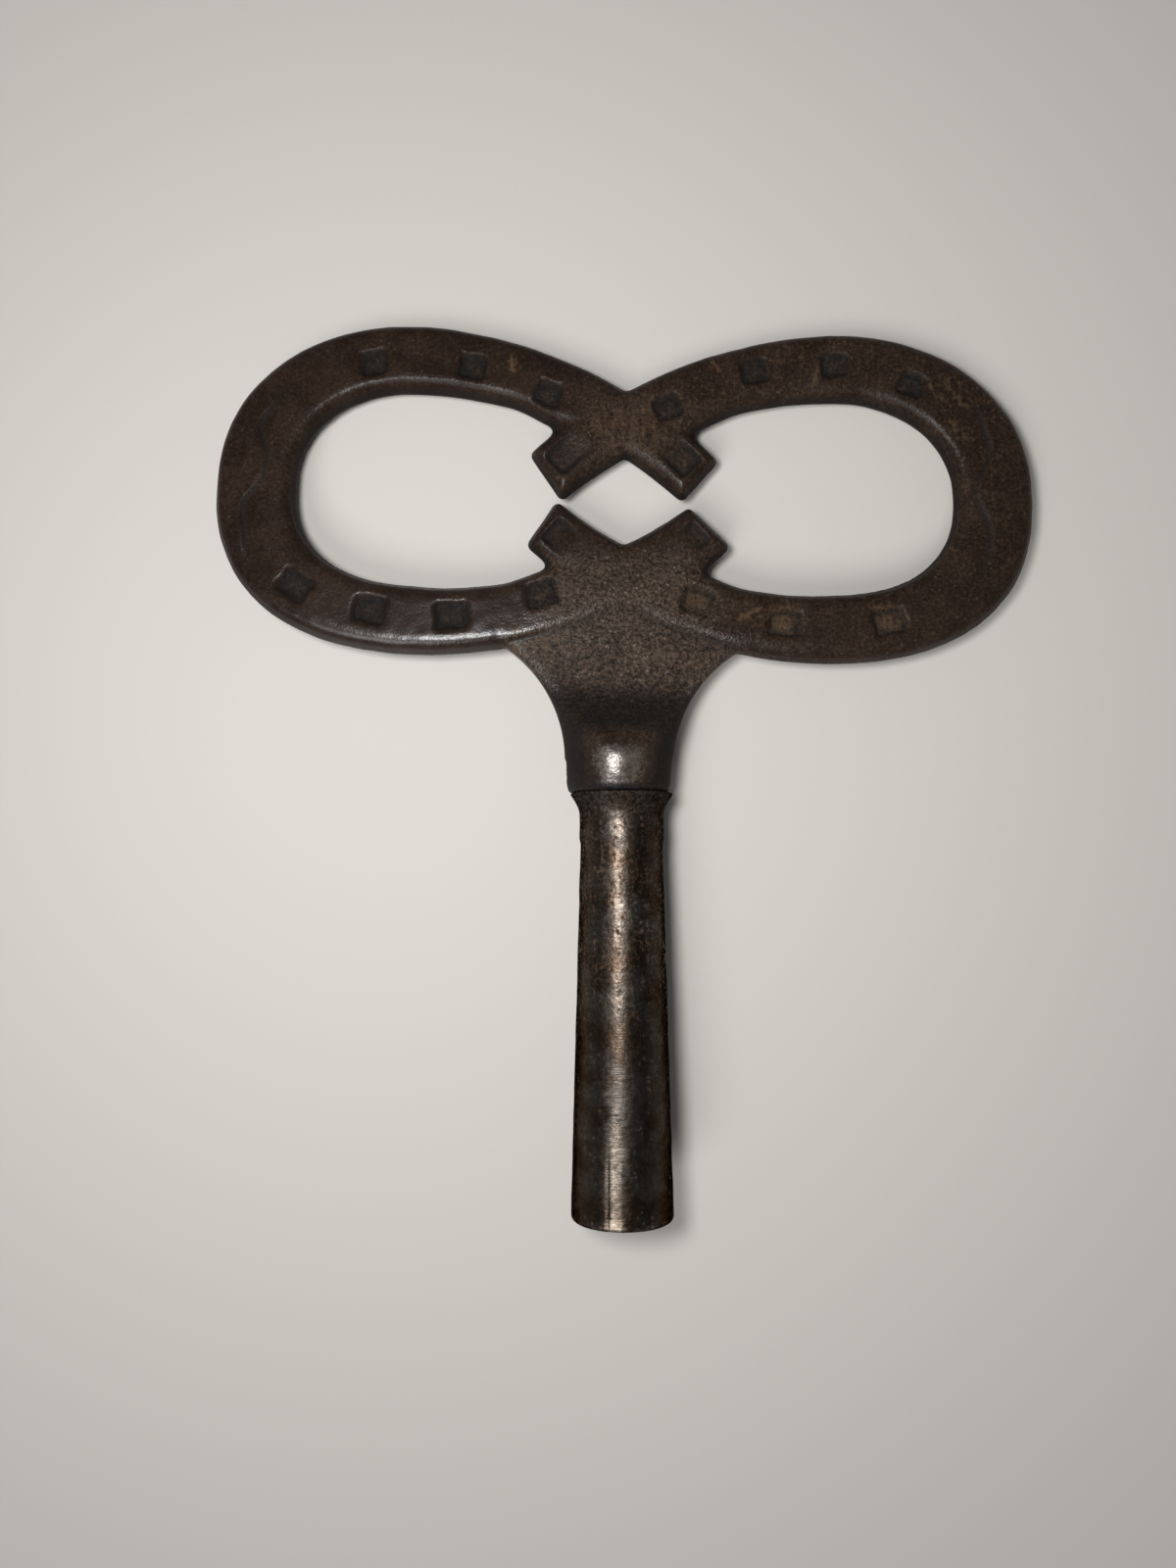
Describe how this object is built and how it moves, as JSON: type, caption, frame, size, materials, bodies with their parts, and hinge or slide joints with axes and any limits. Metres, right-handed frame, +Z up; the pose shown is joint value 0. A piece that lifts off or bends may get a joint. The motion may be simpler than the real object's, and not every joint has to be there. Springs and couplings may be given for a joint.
{
  "type": "clock key",
  "caption": "Winding key for a clock: a cast-iron bow of crossed horseshoes on a flared neck, with a tapered steel barrel that ends in a square socket.",
  "frame": {"origin": "centre of the socket's mouth, on the barrel's axis", "axes": "+Y along the barrel from its mouth to the bow, +X across the bow to the right, +Z up out of the bow's upper face"},
  "size_m": [0.0657, 0.071, 0.0086],
  "materials": {
    "bow_iron": "old brown patina, worn to grey along the edges",
    "barrel_steel": "dark bronze-brown patina with a satin sheen",
    "pin_steel": "dressed off and darkened with the collar"
  },
  "bodies": {
    "root": {"bow": "bow_iron", "barrel": "barrel_steel", "cross_pin": "pin_steel"}
  },
  "joints": []
}
